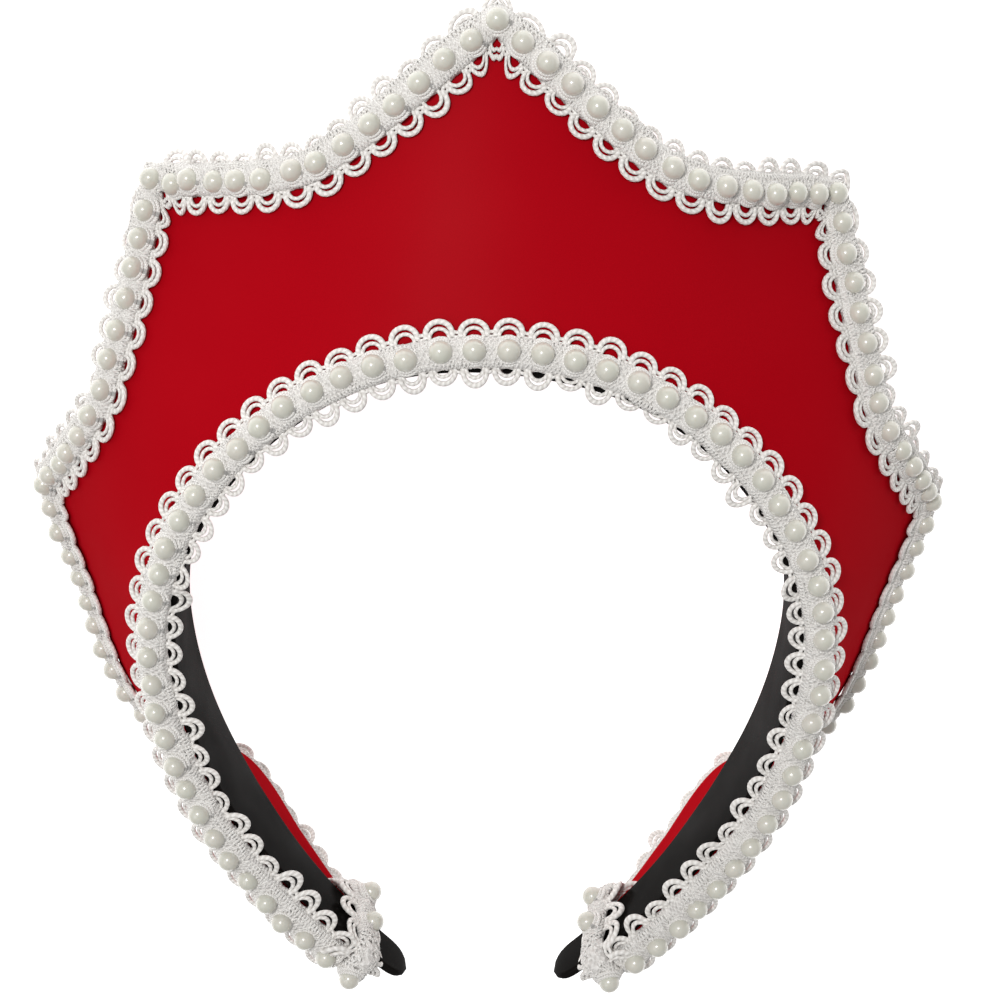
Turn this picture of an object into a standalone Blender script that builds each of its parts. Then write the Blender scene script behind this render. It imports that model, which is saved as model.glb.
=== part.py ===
"""A star-pointed tiara: a covered hairband, a stiff satin crown panel and two pearl-beaded lace trims.

It lies on its back. X runs to the wearer's left, Y to the crown's top point and Z out of its front.
The arch line, where the panel's front edge meets the head, is worked out first, at Z = 0 with its
top at Y = 0. An empty then carries all pieces to the origin, the middle of the footprint.
"""

import math
from collections import namedtuple

import bmesh
import bpy
from mathutils import Matrix, Vector

# Driving dimensions, in metres.
HEAD_HALF = 0.0700
ARCH_HALF = 0.2000
CROWN_HEIGHT = 0.0655
PANEL_WALL = 0.0020
BAND_WIDTH = 0.0250
BAND_WALL = 0.0020
BAND_TIP = 0.0160
TRIM_WALL = 0.0012
TRIM_REACH = 0.0070
SCALLOP_DEPTH = 0.0015
PEARL_RADIUS = 0.0024
PEARL_LIFT = 0.0016
INNER_PITCH = 0.0067
OUTER_PITCH = 0.0065
GAP = 0.0003

STEP = 0.0034
PEARL_SIDES = 10
PEARL_RINGS = 3
SCALLOP_CORNERS = (0, 2, 3, 5)
MOST_TURN_DEG = 5.0
PROBE = 0.0001

# The arch's right half from its top, as tangent arcs: radius as a share of HEAD_HALF, and sweep.
Arc = namedtuple("Arc", "radius sweep_deg")
ARCH_ARCS = (Arc(0.96, 30.0), Arc(1.08, 35.0), Arc(0.90, 30.0), Arc(1.43, 27.0), Arc(2.36, 13.0))

# The panel's outer edge, from the top point to the arch's end. at is a share of ARCH_HALF, width a
# share of CROWN_HEIGHT, and bow the power by which the edge falls from a point into a valley.
Edge = namedtuple("Edge", "at width bow")
EDGE = (
    Edge(0.000, 1.000, 1.75),
    Edge(0.125, 0.660, 1.60),
    Edge(0.235, 0.975, 1.70),
    Edge(0.380, 0.575, 1.80),
    Edge(0.485, 0.840, 1.20),
    Edge(0.570, 0.775, 1.00),
    Edge(0.735, 0.735, 1.00),
    Edge(0.820, 0.580, 1.00),
    Edge(0.900, 0.410, 1.00),
    Edge(0.960, 0.310, 1.00),
    Edge(1.000, 0.230, 1.00),
)
POINTS = (0.0, 0.235, 0.485)

# How the pieces stand along the arch: the panel's lean back from the arch's plane, the rise of the
# inner trim's lip towards the front, the outer trim's hem behind the panel, and the band's width.
Stand = namedtuple("Stand", "at lean_deg lip_deg hem_deg band")
STAND = (
    Stand(0.000, 26.0, 26.0, 45.0, 0.92),
    Stand(0.125, 33.0, 24.0, 46.0, 0.94),
    Stand(0.235, 45.0, 18.0, 50.0, 0.96),
    Stand(0.380, 49.0, 10.0, 56.0, 0.98),
    Stand(0.485, 56.0, 3.0, 60.0, 1.00),
    Stand(0.570, 63.0, 0.0, 64.0, 1.00),
    Stand(0.735, 68.0, 0.0, 70.0, 0.94),
    Stand(0.820, 85.0, 0.0, 76.0, 0.80),
    Stand(0.900, 89.0, 0.0, 80.0, 0.64),
    Stand(1.000, 90.0, 0.0, 86.0, 0.50),
    Stand(1.080, 90.0, 0.0, 86.0, 0.42),
)

TIARA = "star_point_tiara"


def clear_scene():
    for obj in list(bpy.data.objects):
        bpy.data.objects.remove(obj, do_unlink=True)


def material(name, colour, roughness, metallic=0.0):
    """A Principled BSDF with one colour, roughness and metallic value."""
    made = bpy.data.materials.new(name)
    made.use_nodes = True
    shader = made.node_tree.nodes["Principled BSDF"]
    shader.inputs["Base Color"].default_value = (*colour, 1.0)
    shader.inputs["Roughness"].default_value = roughness
    shader.inputs["Metallic"].default_value = metallic
    return made


# Reading the tables


def blend(rows, at, field):
    """The smooth value of a column at a share along the arch, level at the top of the arch."""
    share = [getattr(row, field) for row in rows]
    last = len(rows) - 1
    i = max(0, min(last - 1, sum(row.at <= at for row in rows) - 1))
    low, high = rows[i].at, rows[i + 1].at
    t = min(1.0, (at - low) / (high - low))
    after = min(i + 2, last)
    slope_low = (share[i + 1] - share[i - 1]) / (high - rows[i - 1].at) if i else 0.0
    slope_high = (share[after] - share[i]) / (rows[after].at - low)
    run = high - low
    return (
        share[i] * (2 * t**3 - 3 * t**2 + 1)
        + share[i + 1] * (3 * t**2 - 2 * t**3)
        + slope_low * run * (t**3 - 2 * t**2 + t)
        + slope_high * run * (t**3 - t**2)
    )


def panel_width(s):
    """The panel's width along its ruling at a signed length along the arch."""
    at = min(abs(s) / ARCH_HALF, 1.0)
    i = max(0, min(len(EDGE) - 2, sum(row.at <= at for row in EDGE) - 1))
    near, far = EDGE[i], EDGE[i + 1]
    t = (at - near.at) / (far.at - near.at)
    if near.width >= far.width:
        share = far.width + (near.width - far.width) * (1.0 - t) ** near.bow
    else:
        share = near.width + (far.width - near.width) * t**near.bow
    return share * CROWN_HEIGHT


def stand(s, field):
    return blend(STAND, abs(s) / ARCH_HALF, field)


# The arch and the panel's ruled surface


def arch(s):
    """The arch line's point, its tangent and its outward normal, at a signed length from the top."""
    side = -1.0 if s < 0.0 else 1.0
    left = abs(s)
    x = y = heading = 0.0
    for arc in ARCH_ARCS:
        radius = arc.radius * HEAD_HALF
        turn = min(left / radius, math.radians(arc.sweep_deg))
        if arc is ARCH_ARCS[-1]:
            turn = left / radius
        x += radius * (math.sin(heading + turn) - math.sin(heading))
        y += radius * (math.cos(heading + turn) - math.cos(heading))
        heading += turn
        left -= radius * turn
    point = Vector((side * x, y, 0.0))
    tangent = Vector((math.cos(heading), -side * math.sin(heading), 0.0))
    normal = Vector((side * math.sin(heading), math.cos(heading), 0.0))
    return point, tangent, normal


def ruling(s):
    """The direction in which the panel stands off the arch."""
    lean = math.radians(stand(s, "lean_deg"))
    normal = arch(s)[2]
    return normal * math.cos(lean) + Vector((0.0, 0.0, -math.sin(lean)))


def on_panel(s, width):
    """A point of the panel's outer face, and the face's outward normal there."""
    ahead = arch(s + PROBE)[0] + ruling(s + PROBE) * width
    behind = arch(s - PROBE)[0] + ruling(s - PROBE) * width
    normal = (ahead - behind).cross(ruling(s)).normalized()
    return arch(s)[0] + ruling(s) * width, normal


def edge_frame(s, reach):
    """The outer edge's point, its normal and its inward direction, smoothed over reach each way."""
    point, normal = on_panel(s, panel_width(s))
    low, high = max(s - reach, -ARCH_HALF), min(s + reach, ARCH_HALF)
    tangent = on_panel(high, panel_width(high))[0] - on_panel(low, panel_width(low))[0]
    inward = tangent.cross(normal).normalized()
    return point, normal, inward


# Stations along the arch


def panel_stations():
    """Lengths along the arch with one on each row of the edge table, no further apart than STEP."""
    half = [0.0]
    for near, far in zip(EDGE, EDGE[1:]):
        count = math.ceil((far.at - near.at) * ARCH_HALF / STEP)
        for i in range(1, count + 1):
            half.append((near.at + (far.at - near.at) * i / count) * ARCH_HALF)
    return [-s for s in reversed(half[1:])] + half


def inner_stations():
    """Where the inner trim's pearls sit, and the hollows between them, turn by turn."""
    pearls = round(2.0 * ARCH_HALF / INNER_PITCH)
    step = ARCH_HALF / pearls
    return [-ARCH_HALF + step * i for i in range(2 * pearls + 1)]


def outer_stations():
    """The same for the outer trim, evenly along the edge, with a pearl at each star point."""
    half = [0.0]
    marks = list(POINTS) + [1.0]
    for low, high in zip(marks, marks[1:]):
        fine = [(low + (high - low) * i / 400) * ARCH_HALF for i in range(401)]
        points = [on_panel(s, panel_width(s))[0] for s in fine]
        walked = [0.0]
        for a, b in zip(points, points[1:]):
            walked.append(walked[-1] + (b - a).length)
        count = 2 * round(walked[-1] / OUTER_PITCH) + (1 if high == 1.0 else 0)
        for i in range(1, count + 1):
            goal = walked[-1] * i / count
            j = min(sum(w < goal for w in walked), len(fine) - 1)
            part = (goal - walked[j - 1]) / (walked[j] - walked[j - 1])
            half.append(fine[j - 1] + (fine[j] - fine[j - 1]) * part)
    return [-s for s in reversed(half[1:])] + half


# Building


def finished(bm, name):
    """The mesh made so far, in triangles, with its faces turned outwards."""
    bmesh.ops.triangulate(bm, faces=bm.faces[:])
    bmesh.ops.recalc_face_normals(bm, faces=bm.faces[:])
    mesh = bpy.data.meshes.new(name)
    bm.to_mesh(mesh)
    bm.free()
    return mesh


def loft(name, rings):
    """A closed solid through equal rings of points, with flat ends."""
    bm = bmesh.new()
    loops = [[bm.verts.new(p) for p in ring] for ring in rings]
    count = len(loops[0])
    for a, b in zip(loops, loops[1:]):
        for i in range(count):
            j = (i + 1) % count
            bm.faces.new((a[i], a[j], b[j], b[i]))
    bm.faces.new(loops[0])
    bm.faces.new(loops[-1])
    return finished(bm, name)


def scalloped_loft(name, sections):
    """A folded strip through rings at its hollows, with a scallop's tip on each edge in between.

    sections holds (ring, full) in order: full is False for a ring that spans the strip, and True
    where only the ends of its lip and its face are used, as the tips of the two scallops there.
    """
    bm = bmesh.new()
    loops = [([bm.verts.new(p) for p in ring], tip) for ring, tip in sections if not tip]
    tips = {}
    seen = 0
    for ring, tip in sections:
        if tip:
            tips[seen - 1] = {k: bm.verts.new(ring[k]) for k in SCALLOP_CORNERS}
        else:
            seen += 1
    for i, ((a, _), (b, _)) in enumerate(zip(loops, loops[1:])):
        count = len(a)
        for j in range(count):
            k = (j + 1) % count
            ends = [v for v in (j, k) if v in SCALLOP_CORNERS and i in tips]
            if len(ends) == 2:
                bm.faces.new((a[j], a[k], tips[i][k], tips[i][j]))
                bm.faces.new((tips[i][j], tips[i][k], b[k], b[j]))
            elif len(ends) == 1:
                fan = (a[j], a[k], b[k], b[j]) if ends == [j] else (b[k], b[j], a[j], a[k])
                for u, v in zip(fan, fan[1:]):
                    bm.faces.new((tips[i][ends[0]], u, v))
            else:
                bm.faces.new((a[j], a[k], b[k], b[j]))
    bm.faces.new(loops[0][0])
    bm.faces.new(loops[-1][0])
    return finished(bm, name)


def place(name, mesh, finish, carrier, collection):
    obj = bpy.data.objects.new(name, mesh)
    mesh.materials.append(finish)
    collection.objects.link(obj)
    obj.parent = carrier
    return obj


def crown_panel():
    """The stiff crescent, a wall ruled from the arch line to the star-pointed edge."""
    rings = []
    for s in panel_stations():
        width = panel_width(s)
        face = [on_panel(s, width * share) for share in (0.0, 1.0)]
        front = [point for point, normal in face]
        back = [point - normal * PANEL_WALL for point, normal in reversed(face)]
        rings.append(front + back)
    return loft("crown_panel", rings)


def hairband():
    """The band that grips the head, just inside the panel, with narrow tips that turn in."""
    end = ARCH_HALF + BAND_TIP
    count = 2 * math.ceil(end / (2.0 * STEP)) + 1
    rings = []
    for i in range(count + 1):
        s = -end + 2.0 * end * i / count
        point, tangent, normal = arch(s)
        lean = math.radians(stand(s, "lean_deg"))
        outer = point - normal * (PANEL_WALL * math.sin(lean) + GAP)
        inner = outer - normal * BAND_WALL
        depth = Vector((0.0, 0.0, -stand(s, "band") * BAND_WIDTH))
        rings.append([outer, inner, inner + depth, outer + depth])
    return loft("hairband", rings)


def folded(corner, face_dir, face_normal, lip_dir, lip_normal, face_reach, lip_reach):
    """A ring of a folded strip and the middle of its outer fold, with GAP between it and corner."""
    bisector = (face_normal + lip_normal) / (1.0 + face_normal.dot(lip_normal))
    inside = corner + bisector * GAP
    outside = corner + bisector * (GAP + TRIM_WALL)
    face_end = inside + face_dir * face_reach
    lip_end = inside + lip_dir * lip_reach
    ring = [
        lip_end,
        inside,
        face_end,
        face_end + face_normal * TRIM_WALL,
        outside,
        lip_end + lip_normal * TRIM_WALL,
    ]
    return ring, outside, bisector.normalized()


def inner_trim_parts():
    """The sections of the trim on the arch line, and where its pearls sit."""
    sections, seats = [], []
    front = Vector((0.0, 0.0, 1.0))
    for i, s in enumerate(inner_stations()):
        at_pearl = i % 2 == 1
        point, tangent, normal = arch(s)
        lean, lip = math.radians(stand(s, "lean_deg")), math.radians(stand(s, "lip_deg"))
        face_normal = normal * math.sin(lean) + front * math.cos(lean)
        lip_dir = -normal * math.cos(lip) + front * math.sin(lip)
        lip_normal = normal * math.sin(lip) + front * math.cos(lip)
        reach = TRIM_REACH - (0.0 if at_pearl else SCALLOP_DEPTH)
        ring, fold, up = folded(point, ruling(s), face_normal, lip_dir, lip_normal, reach, reach)
        sections.append((ring, at_pearl))
        if at_pearl:
            seats.append((fold, up))
    return sections, seats


def room_at_points(point, inward, reach):
    """The reach at which the strip stays on its own side of the line down from each star point."""
    for at in POINTS:
        for side in (-1.0, 1.0):
            tip, normal, down = edge_frame(side * at * ARCH_HALF, STEP)
            across = down.cross(normal)
            away = (point - tip).dot(across)
            if (point - tip).length > 2.0 * TRIM_REACH or abs(away) < GAP:
                continue
            closing = -inward.dot(across) * math.copysign(1.0, away)
            if closing > 0.0:
                reach = min(reach, (abs(away) - GAP) / closing)
    return reach


def outer_trim_parts():
    """The sections of the trim folded over the star-pointed edge, and where its pearls sit."""
    sections, seats = [], []
    stations = outer_stations()
    middle = len(stations) // 2
    edge = [on_panel(s, panel_width(s))[0] for s in stations]
    for i, s in enumerate(stations):
        at_pearl = (i - middle) % 2 == 0
        ahead = edge[min(i + 1, len(edge) - 1)] - edge[i]
        behind = edge[i] - edge[max(i - 1, 0)]
        bends = ahead.angle(behind, 0.0) > math.radians(MOST_TURN_DEG)
        point, normal, inward = edge_frame(s, 1.5 * STEP)
        hem = math.radians(stand(s, "hem_deg"))
        lip_dir = -inward * math.cos(hem) - normal * math.sin(hem)
        lip_normal = normal * math.cos(hem) - inward * math.sin(hem)
        lip_reach = TRIM_REACH - (0.0 if at_pearl else SCALLOP_DEPTH)
        face_reach = room_at_points(point, inward, lip_reach)
        ring, fold, up = folded(
            point, inward, normal, lip_dir, lip_normal, face_reach, lip_reach
        )
        sections.append((ring, at_pearl and not bends))
        if at_pearl:
            seats.append((fold, up))
    return sections, seats


def pearls(name, seats):
    """One mesh of round pearls, each lifted off its seat and turned to stand along it."""
    bm = bmesh.new()
    for fold, up in seats:
        turn = up.to_track_quat("Z", "Y").to_matrix().to_4x4()
        spot = Matrix.Translation(fold + up * PEARL_LIFT) @ turn
        bmesh.ops.create_uvsphere(
            bm, u_segments=PEARL_SIDES, v_segments=PEARL_RINGS, radius=PEARL_RADIUS, matrix=spot
        )
    mesh = bpy.data.meshes.new(name)
    bm.to_mesh(mesh)
    bm.free()
    return mesh


def lace_trim(name, parts, finish, carrier, collection, tools):
    """A scalloped strip of lace with its row of pearls, fused into one body."""
    sections, seats = parts
    strip = place(name, scalloped_loft(name, sections), finish, carrier, collection)
    beads = place(name + "_pearls", pearls(name + "_pearls", seats), finish, carrier, tools)
    beads.hide_render = True
    beads.display_type = "WIRE"
    union = strip.modifiers.new("pearls", "BOOLEAN")
    union.operation = "UNION"
    union.solver = "EXACT"
    union.object = beads
    return strip


def box_of(objects):
    """The lowest and highest corners of the finished pieces."""
    graph = bpy.context.evaluated_depsgraph_get()
    corners = []
    for obj in objects:
        shown = obj.evaluated_get(graph)
        mesh = shown.to_mesh()
        corners += [obj.matrix_world @ v.co for v in mesh.vertices]
        shown.to_mesh_clear()
    low = Vector([min(c[k] for c in corners) for k in range(3)])
    high = Vector([max(c[k] for c in corners) for k in range(3)])
    return low, high


def build():
    clear_scene()
    collection = bpy.data.collections.new(TIARA)
    tools = bpy.data.collections.new("cutters")
    bpy.context.scene.collection.children.link(collection)
    bpy.context.scene.collection.children.link(tools)
    satin = material("red_satin", (0.42, 0.004, 0.010), 0.45)
    black = material("black_cover", (0.012, 0.012, 0.013), 0.42)
    lace = material("ivory_lace", (0.78, 0.74, 0.68), 0.50)

    carrier = bpy.data.objects.new("arch_frame", None)
    collection.objects.link(carrier)
    pieces = [
        place("hairband", hairband(), black, carrier, collection),
        place("crown_panel", crown_panel(), satin, carrier, collection),
        lace_trim("inner_lace_trim", inner_trim_parts(), lace, carrier, collection, tools),
        lace_trim("outer_lace_trim", outer_trim_parts(), lace, carrier, collection, tools),
    ]
    for piece in pieces:
        piece.data.shade_smooth()
        piece.data.set_sharp_from_angle(angle=math.radians(40.0))

    low, high = box_of(pieces)
    carrier.location = (-(low.x + high.x) / 2.0, -(low.y + high.y) / 2.0, -low.z)
    bpy.context.view_layer.update()


build()
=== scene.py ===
"""The finish of a star-point tiara: red satin, a covered black hairband, corded lace and pearls.

Every length is in metres. The part's own formulas are repeated here for the arch line and the
ruled panel, in the arch frame, where the panel's front edge lies at Z = 0 with its top at Y = 0.
"""

import json
import math
from collections import namedtuple
from functools import partial

import bmesh
import bpy
import numpy as np
from mathutils import Matrix, Vector


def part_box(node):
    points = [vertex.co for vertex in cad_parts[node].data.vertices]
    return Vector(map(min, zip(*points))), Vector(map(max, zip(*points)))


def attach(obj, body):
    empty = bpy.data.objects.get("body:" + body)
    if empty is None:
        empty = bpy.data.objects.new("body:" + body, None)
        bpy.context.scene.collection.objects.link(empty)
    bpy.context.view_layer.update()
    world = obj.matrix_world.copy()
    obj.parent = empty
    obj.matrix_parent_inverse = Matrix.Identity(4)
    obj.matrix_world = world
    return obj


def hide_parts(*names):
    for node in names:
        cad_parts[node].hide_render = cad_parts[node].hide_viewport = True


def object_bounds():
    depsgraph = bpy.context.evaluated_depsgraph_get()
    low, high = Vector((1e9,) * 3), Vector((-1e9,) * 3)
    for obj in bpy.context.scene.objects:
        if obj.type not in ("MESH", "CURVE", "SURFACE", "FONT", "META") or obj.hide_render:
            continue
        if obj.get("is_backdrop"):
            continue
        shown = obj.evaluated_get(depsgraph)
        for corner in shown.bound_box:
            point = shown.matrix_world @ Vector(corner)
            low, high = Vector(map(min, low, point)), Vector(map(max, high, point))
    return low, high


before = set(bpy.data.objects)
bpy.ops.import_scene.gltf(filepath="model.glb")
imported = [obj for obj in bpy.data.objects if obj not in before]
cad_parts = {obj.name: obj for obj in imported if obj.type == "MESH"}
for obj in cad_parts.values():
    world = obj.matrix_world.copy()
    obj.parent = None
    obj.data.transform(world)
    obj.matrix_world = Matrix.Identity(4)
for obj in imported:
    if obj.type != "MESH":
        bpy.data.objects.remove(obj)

FRAME_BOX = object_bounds()

# The part's driving dimensions
HEAD_HALF = 0.0700
ARCH_HALF = 0.2000
CROWN_HEIGHT = 0.0655
PANEL_WALL = 0.0020
BAND_WIDTH = 0.0250
BAND_WALL = 0.0020
BAND_TIP = 0.0160
TRIM_WALL = 0.0012
TRIM_REACH = 0.0070
PEARL_RADIUS = 0.0024
PEARL_LIFT = 0.0016
INNER_PITCH = 0.0067
OUTER_PITCH = 0.0065
GAP = 0.0003

# A small step to find a slope with, and the least divisor
PROBE = 0.0001
TINY = 1e-6

# How finely each line is sampled: points a pearl, a station, or in all
INNER_STEPS = 20
OUTER_STEPS = 16
EDGE_SAMPLES = 401
END_SAMPLES = 241
BAND_SAMPLES = 421
SATIN_STEP = 0.0010

# The arch: arcs from its top down, each a radius as a share of HEAD_HALF and a sweep
Arc = namedtuple("Arc", "radius sweep_deg")
ARCH_ARCS = (Arc(0.96, 30.0), Arc(1.08, 35.0), Arc(0.90, 30.0), Arc(1.43, 27.0), Arc(2.36, 13.0))

# The panel's star-pointed edge: width as a share of CROWN_HEIGHT, and how bowed it is to the next
Edge = namedtuple("Edge", "at width bow")
EDGE = (
    Edge(0.000, 1.000, 1.75),
    Edge(0.125, 0.660, 1.60),
    Edge(0.235, 0.975, 1.70),
    Edge(0.380, 0.575, 1.80),
    Edge(0.485, 0.840, 1.20),
    Edge(0.570, 0.775, 1.00),
    Edge(0.735, 0.735, 1.00),
    Edge(0.820, 0.580, 1.00),
    Edge(0.900, 0.410, 1.00),
    Edge(0.960, 0.310, 1.00),
    Edge(1.000, 0.230, 1.00),
)
POINTS = (0.0, 0.235, 0.485)

# The length over which the outer edge's direction is smoothed at a star point
CREASE = 0.0034

# How the panel leans, how its two trims fold, and the hairband's share of BAND_WIDTH
Stand = namedtuple("Stand", "at lean_deg lip_deg hem_deg band")
STAND = (
    Stand(0.000, 26.0, 26.0, 45.0, 0.92),
    Stand(0.125, 33.0, 24.0, 46.0, 0.94),
    Stand(0.235, 45.0, 18.0, 50.0, 0.96),
    Stand(0.380, 49.0, 10.0, 56.0, 0.98),
    Stand(0.485, 56.0, 3.0, 60.0, 1.00),
    Stand(0.570, 63.0, 0.0, 64.0, 1.00),
    Stand(0.735, 68.0, 0.0, 70.0, 0.94),
    Stand(0.820, 85.0, 0.0, 76.0, 0.80),
    Stand(0.900, 89.0, 0.0, 80.0, 0.64),
    Stand(1.000, 90.0, 0.0, 86.0, 0.50),
    Stand(1.080, 90.0, 0.0, 86.0, 0.42),
)

# The lace's corded loops, round their centres, which lie foot from the fold line, and how far
# their legs turn in, in radians
Loop = namedtuple("Loop", "half foot cord sides steps")
LOOPS = (Loop(0.00255, 0.0038, 0.00056, 8, 16), Loop(0.00192, 0.0030, 0.00042, 7, 13))
LEG_TURN = 0.30

# The small ring between each two loops
KNOT_FOOT = 0.0035
KNOT_HALF = (0.00072, 0.00052)
KNOT_CORD = 0.00040
KNOT_STEPS = 10
RING_SIDES = 6

# The two rings of thread round each pearl: radius, cord radius, and depth below its middle
Cup = namedtuple("Cup", "reach cord sunk")
CUPS = (Cup(0.00242, 0.00040, 0.0006), Cup(0.00285, 0.00050, 0.0013))
CUP_STEPS = 18
PEARL_DETAIL = 3

# The braid under the pearls: its half width on the face and on each trim's lip, its thickness at
# the edges and in the middle, its extra height between pearls, its scallops and its small lumps
BRAID_HALF = 0.0030
LIP_HALF = 0.0035
OUTER_LIP_HALF = 0.0044
BRAID_EDGE = 0.0004
BRAID_RISE = 0.0018
BRAID_SWELL = 0.0003
BRAID_SCALLOP = 0.00012
BRAID_LUMP = 0.00008
BRAID_FLOOR = 0.0001
BRAID_STEPS = 10
BRAID_COLUMNS = 21

# The radius of the fold over the panel's edge, and how far the lace stays above the floor
FOLD_RADIUS = 0.0013
FLOOR_RISE = 0.0001

# The threads that cross the braid: middle line and swing in millimetres, waves a pearl, and phase
MM = 0.001
Thread = namedtuple("Thread", "centre swing waves phase")
THREADS = (
    Thread(2.25, 0.50, 4.0, 0.00),
    Thread(2.25, 0.50, 4.0, 0.50),
    Thread(1.50, 0.95, 3.0, 0.20),
    Thread(0.75, 0.90, 2.0, 0.00),
    Thread(0.75, 0.90, 2.0, 0.50),
    Thread(-0.75, 0.90, 2.0, 0.25),
    Thread(-0.75, 0.90, 2.0, 0.75),
    Thread(-1.50, 0.95, 3.0, 0.70),
    Thread(-2.25, 0.50, 4.0, 0.25),
    Thread(-2.25, 0.50, 4.0, 0.75),
)
THREAD_RADIUS = 0.00028
THREAD_WEAVE = 0.00022
THREAD_RISE = 0.00008
THREAD_STEPS = 6
THREAD_SIDES = 4

# How the soft lace sits along the arch. The inner trim's face side springs off the panel by
# splay_deg, its fold stands outside the panel's corner by stand_off, and its lip is lip_stretch
# times as long. The outer trim keeps hem_kept of its hem, and its pearls sink in by pearl_sunk
Spring = namedtuple("Spring", "at splay_deg stand_off hem_kept lip_stretch pearl_sunk")
SPRING = (
    Spring(0.000, 0.0, 0.0000, 0.25, 1.00, 0.0000),
    Spring(0.235, 0.0, 0.0003, -0.10, 1.00, 0.0000),
    Spring(0.380, 17.0, 0.0006, -0.30, 1.00, 0.0000),
    Spring(0.485, 22.0, 0.0008, -0.10, 1.00, 0.0005),
    Spring(0.570, 26.0, 0.0010, 0.08, 1.02, 0.0009),
    Spring(0.735, 40.0, 0.0012, 0.08, 1.12, 0.0009),
    Spring(0.820, 58.0, 0.0014, 0.18, 1.22, 0.0009),
    Spring(0.900, 64.0, 0.0014, 0.18, 1.24, 0.0009),
    Spring(1.000, 66.0, 0.0014, 0.18, 1.24, 0.0009),
)

# The camera, in the arch frame, found from the spacing of the beads in the photograph
CAMERA_AT = Vector((0.0002, 0.1692, 0.4197))
CAMERA_RIGHT = Vector((0.9998, 0.0185, -0.0035))
CAMERA_AHEAD = Vector((0.0049, -0.4343, -0.9008))
FOCAL_PX = 2255.0
PHOTO_PX = 1001.0
SENSOR_MM = 36.0

# The lace round each end: its ring's middle and half sizes, across the band and along Z, how
# square the ring is, how far it lies askew, how lumpy it is, how far its face side turns in, and
# where its pearls are, in turns of its loops
END_MIDDLE = (-0.0022, -0.0075)
END_HALF = (0.0034, 0.0098)
END_CORNER = 0.6
END_SKEW = 0.0030
END_LUMP = 0.00045
END_SINK_DEG = 22.0
END_PEARLS = (1.5, 3.2, 4.5)

# Small slacknesses: where two runs of lace meet at a star point, between two loops, in the
# pearls' string, in the loops' reach on the face and the lip, and in how high the lip's loops lie
MITRE_OVERLAP = 0.0009
LOOP_BLEND = 0.3
PEARL_DRIFT = 0.00022
FACE_UNEVEN = 0.035
LIP_UNEVEN = 0.09
LIP_SWAY = 0.0014

# Where the hairband dips below the panel near the arch's top, and by how much
BAND_DIP = 0.0021
BAND_DIP_AT = 0.0080
BAND_DIP_REACH = 0.0270

# The hairband's section: its corner radius as a share of its wall, the length that its tips narrow
# over, and the least width and wall there, as shares
BAND_CORNER = 0.45
BAND_CORNER_STEPS = 5
TIP_ROUND = 0.0060
TIP_LEAST_HALF = 0.02
TIP_LEAST_WALL = 0.1
TIP_WALL_GAIN = 1.2

# The satin: its columns across the panel, how far its edge rolls as a share of the wall, and two
# soft waves, each a height with the radians of its phase for a metre along and for the whole width
SATIN_COLUMNS = np.r_[0.0, 0.006, np.linspace(0.02, 0.98, 20), 0.994, 1.0]
SATIN_ROLL = 0.12
Wave = namedtuple("Wave", "height along across")
SATIN_WAVES = (Wave(0.00010, 95.0, 3.0), Wave(0.00008, 210.0, -5.0))
SATIN_SHARP_DEG = 50.0
SATIN_WEAVE = 18000.0

# The studio: a glowing white floor just under the tiara, a white surround and two soft boxes
FLOOR_HALF = 12.0
FLOOR_DROP = 0.0002
FLOOR_GLOW = 0.85
SURROUND = 0.42
SoftBox = namedtuple("SoftBox", "name at size power")
SOFT_BOXES = (
    SoftBox("key_box", (-0.24, 0.58, 0.92), 0.16, 6.5),
    SoftBox("fill_box", (-0.60, 0.00, 0.90), 0.60, 1.2),
)
LIT_POINT = Vector((0.0, 0.0, 0.03))

# Each trim's seed, and what its other random draws add to it
SEEDS = {"inner": 7, "outer": 107, "left_end": 212, "right_end": 307}
SWAY_SEED = 1
THREAD_SEED = 10
DRIFT_SEED = 30


# Reading the tables


def blend(rows, at, field):
    """The smooth value of a column at each share along the arch, level at the arch's top."""
    ats = np.array([row.at for row in rows])
    share = np.array([getattr(row, field) for row in rows])
    last = len(rows) - 1
    i = np.clip(np.searchsorted(ats, at, side="right") - 1, 0, last - 1)
    run = ats[i + 1] - ats[i]
    t = np.minimum(1.0, (at - ats[i]) / run)
    before, after = np.maximum(i - 1, 0), np.minimum(i + 2, last)
    slope_low = np.where(i > 0, (share[i + 1] - share[before]) / (ats[i + 1] - ats[before]), 0.0)
    slope_high = (share[after] - share[i]) / (ats[after] - ats[i])
    return (
        share[i] * (2 * t**3 - 3 * t**2 + 1)
        + share[i + 1] * (3 * t**2 - 2 * t**3)
        + slope_low * run * (t**3 - 2 * t**2 + t)
        + slope_high * run * (t**3 - t**2)
    )


def stand(s, field):
    return blend(STAND, np.abs(s) / ARCH_HALF, field)


def spring(s, field):
    return blend(SPRING, np.abs(s) / ARCH_HALF, field)


def lean(s):
    return np.radians(stand(s, "lean_deg"))


def panel_width(s):
    """The panel's width along its ruling at signed lengths along the arch."""
    at = np.minimum(np.abs(s) / ARCH_HALF, 1.0)
    ats = np.array([row.at for row in EDGE])
    width = np.array([row.width for row in EDGE])
    bow = np.array([row.bow for row in EDGE])
    i = np.clip(np.searchsorted(ats, at, side="right") - 1, 0, len(EDGE) - 2)
    t = np.clip((at - ats[i]) / (ats[i + 1] - ats[i]), 0.0, 1.0)
    near, far = width[i], width[i + 1]
    falling = far + (near - far) * (1.0 - t) ** bow[i]
    rising = near + (far - near) * t ** bow[i]
    return np.where(near >= far, falling, rising) * CROWN_HEIGHT


# The arch and the ruled panel, for arrays of lengths along the arch


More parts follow.
